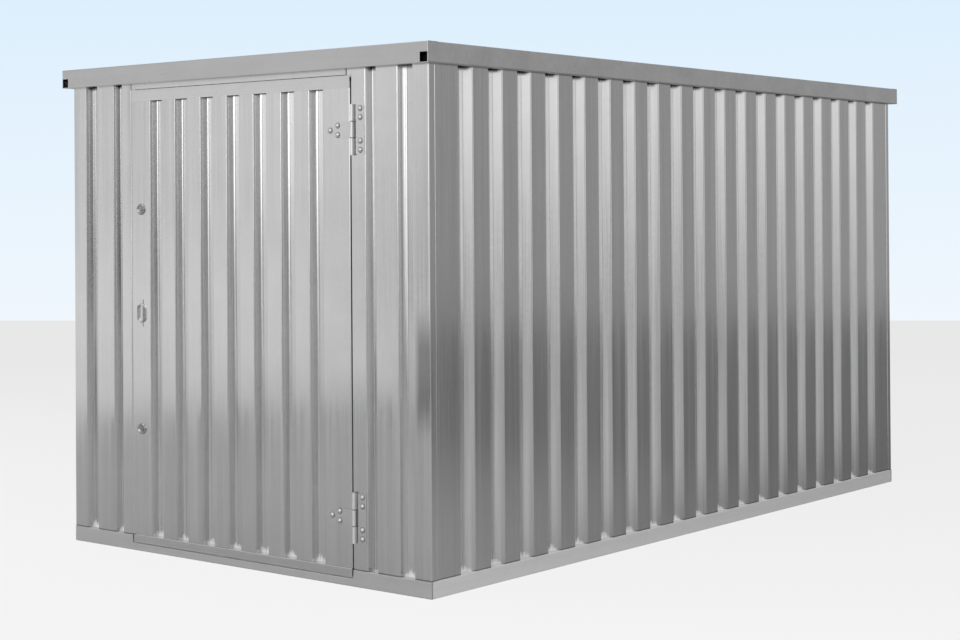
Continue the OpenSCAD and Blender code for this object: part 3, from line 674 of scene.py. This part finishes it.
def head_group(name, sides):
    """Sets a closed head on every point. Sides is 0 for a dome, else a prism of that many."""
    group = bpy.data.node_groups.new(name, "GeometryNodeTree")
    face = group.interface
    for socket, kind in (("Places", "NodeSocketGeometry"), ("Radius", "NodeSocketFloat"),
                         ("Height", "NodeSocketFloat"), ("Turn", "NodeSocketVector"),
                         ("Finish", "NodeSocketMaterial")):
        face.new_socket(socket, in_out="INPUT", socket_type=kind)
    face.new_socket("Heads", in_out="OUTPUT", socket_type="NodeSocketGeometry")
    given = group.nodes.new("NodeGroupInput").outputs
    if sides:
        head = add_node(group, "GeometryNodeMeshCylinder",
                        {"Vertices": sides, "Radius": 1.0, "Depth": 2.0})
    else:
        head = add_node(group, "GeometryNodeMeshUVSphere",
                        {"Segments": 14, "Rings": 8, "Radius": 1.0})
    size = add_node(group, "ShaderNodeCombineXYZ",
                    {"X": given["Radius"], "Y": given["Radius"], "Z": given["Height"]})
    sized = add_node(group, "GeometryNodeTransform",
                     {"Geometry": head.outputs["Mesh"], "Scale": size.outputs[0]})
    smooth = add_node(group, "GeometryNodeSetShadeSmooth",
                      {"Geometry": sized.outputs[0], "Shade Smooth": not sides})
    turned = add_node(group, "GeometryNodeTransform",
                      {"Geometry": smooth.outputs[0], "Rotation": given["Turn"]})
    spread = add_node(group, "GeometryNodeInstanceOnPoints",
                      {"Points": given["Places"], "Instance": turned.outputs[0]})
    real = add_node(group, "GeometryNodeRealizeInstances", {0: spread.outputs[0]})
    coat = add_node(group, "GeometryNodeSetMaterial",
                    {"Geometry": real.outputs[0], "Material": given["Finish"]})
    add_node(group, "NodeGroupOutput", {"Heads": coat.outputs[0]})
    return group


domes = head_group("domed_heads", 0)
hexes = head_group("hexagon_heads", 6)
rounds = head_group("flat_round_heads", 12)
UPRIGHT = (0.0, 0.0, 0.0)
TO_DOOR = (math.pi / 2, 0.0, 0.0)
TO_SIDE = (0.0, math.pi / 2, 0.0)


def fasten(name, group, places, size, turn, finish, body):
    """One mesh of heads, each centred on its place in metres. Size is the head's radius,
    and its height from the middle."""
    points = bpy.data.meshes.new(name + "_places")
    points.from_pydata(places, [], [])
    piece = bpy.data.objects.new(name, points)
    bpy.context.scene.collection.objects.link(piece)
    heads = piece.modifiers.new("heads", "NODES")
    heads.node_group = group
    values = {"Radius": size[0], "Height": size[1], "Turn": turn, "Finish": finish}
    for item in group.interface.items_tree:
        if item.in_out == "INPUT" and item.name in values:
            heads[item.identifier] = values[item.name]
    bpy.context.view_layer.update()
    ready = piece.evaluated_get(bpy.context.evaluated_depsgraph_get())
    mesh = bpy.data.meshes.new_from_object(ready)
    piece.modifiers.remove(heads)
    piece.data = mesh
    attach(piece, body)


bright_bolt = zinc_sheet("bright_bolt", EVEN, gloss=0.30, streak=0.02, spangle=0.0, tone=0.78)
dull_bolt = zinc_sheet("dull_bolt", EVEN, gloss=0.35, streak=0.04, spangle=0.0, tone=0.62)
bolt_shade_ring = zinc_sheet("bolt_shade_ring", EVEN, gloss=0.5, streak=0.04, spangle=0.0, tone=0.26)

# Three bolts hold each strap and four each plate, with a thin dark disc under each head: painted
# shade round its rim
DOME, RING = (0.0104, 0.0078), (0.0122, 0.0009)
STRAP_BOLTS = ((0.582, 0.019), (0.582, -0.019), (0.542, 0.0))
PLATE_BOLTS = ((0.703, 0.084), (0.703, 0.0485), (0.703, -0.0455), (0.703, -0.082))
HINGE_THICKNESS = 0.004
hinge_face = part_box("front_wall_right")[0][1] - HINGE_THICKNESS
strap_bolts = [(x, hinge_face, centre + up) for centre in centres for x, up in STRAP_BOLTS]
plate_bolts = [(x, hinge_face, centre + up) for centre in centres for x, up in PLATE_BOLTS]
fasten("strap_bolts", domes, strap_bolts, DOME, TO_DOOR, bright_bolt, "door")
fasten("plate_bolts", domes, plate_bolts, DOME, TO_DOOR, bright_bolt, "store")
fasten("strap_bolt_rings", rounds, strap_bolts, RING, TO_DOOR, bolt_shade_ring, "door")
fasten("plate_bolt_rings", rounds, plate_bolts, RING, TO_DOOR, bolt_shade_ring, "store")

# Two rivets close each corner of the roof edge, and four more hold each long side
RIVET = (0.0034, 0.0012)
CORNER_DROPS, CORNER_INSET = (0.011, 0.030), 0.037
SIDE_RIVETS_Y, SIDE_DROP = (-1.05, -0.23, 0.59, 1.41), 0.058
RIVET_SUNK = 0.0005
rivet_x = cad_high[0] - RIVET_SUNK
side_rivets = []
for side in (-1, 1):
    side_rivets += [(side * rivet_x, end * (cad_high[1] - CORNER_INSET), cad_high[2] - drop)
                    for end in (-1, 1) for drop in CORNER_DROPS]
    side_rivets += [(side * rivet_x, along, cad_high[2] - SIDE_DROP) for along in SIDE_RIVETS_Y]
fasten("edge_rivets", domes, side_rivets, RIVET, TO_SIDE, bright_bolt, "store")

# Five bolts run up every joint between wall panels, behind the sheet
JOINT_BOLT = (0.0075, 0.0075)
JOINT_LEVELS = (0.25, 0.65, 1.05, 1.45, 1.85)
FLANGE_IN = 0.0115
joint_y = [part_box(f"right_wall_panel_{i}")[1][1] for i in PANELS[:-1]]
flange_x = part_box("right_wall_panel_2")[0][0] + FLANGE_IN
flange_bolts = [(side * flange_x, along, level) for level in JOINT_LEVELS
                for side in (-1, 1) for along in joint_y]
fasten("wall_joint_bolts", hexes, flange_bolts, JOINT_BOLT, TO_DOOR, dull_bolt, "store")
rear_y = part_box("rear_wall_left")[0][1] + FLANGE_IN
fasten("rear_joint_bolts", hexes, [(0.0, rear_y, level) for level in JOINT_LEVELS],
       JOINT_BOLT, TO_SIDE, dull_bolt, "store")

# A row of screws goes into every bearer
SCREW, SCREW_SUNK = (0.0045, 0.0008), 0.0005
SCREWS_X = (-0.9, -0.6, -0.3, 0, 0.3, 0.6, 0.9)
BEARERS, BEARER_HALF = 7, 0.02
board_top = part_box("floor_board_1")[1][2] - SCREW_SUNK
bearer_low, bearer_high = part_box("floor_bearers")
first_row = bearer_low[1] + BEARER_HALF
row_span = bearer_high[1] - BEARER_HALF - first_row
board_screws = [(across, first_row + row_span * row / (BEARERS - 1), board_top)
                for row in range(BEARERS) for across in SCREWS_X]
fasten("board_screws", rounds, board_screws, SCREW, UPRIGHT, dull_bolt, "store")
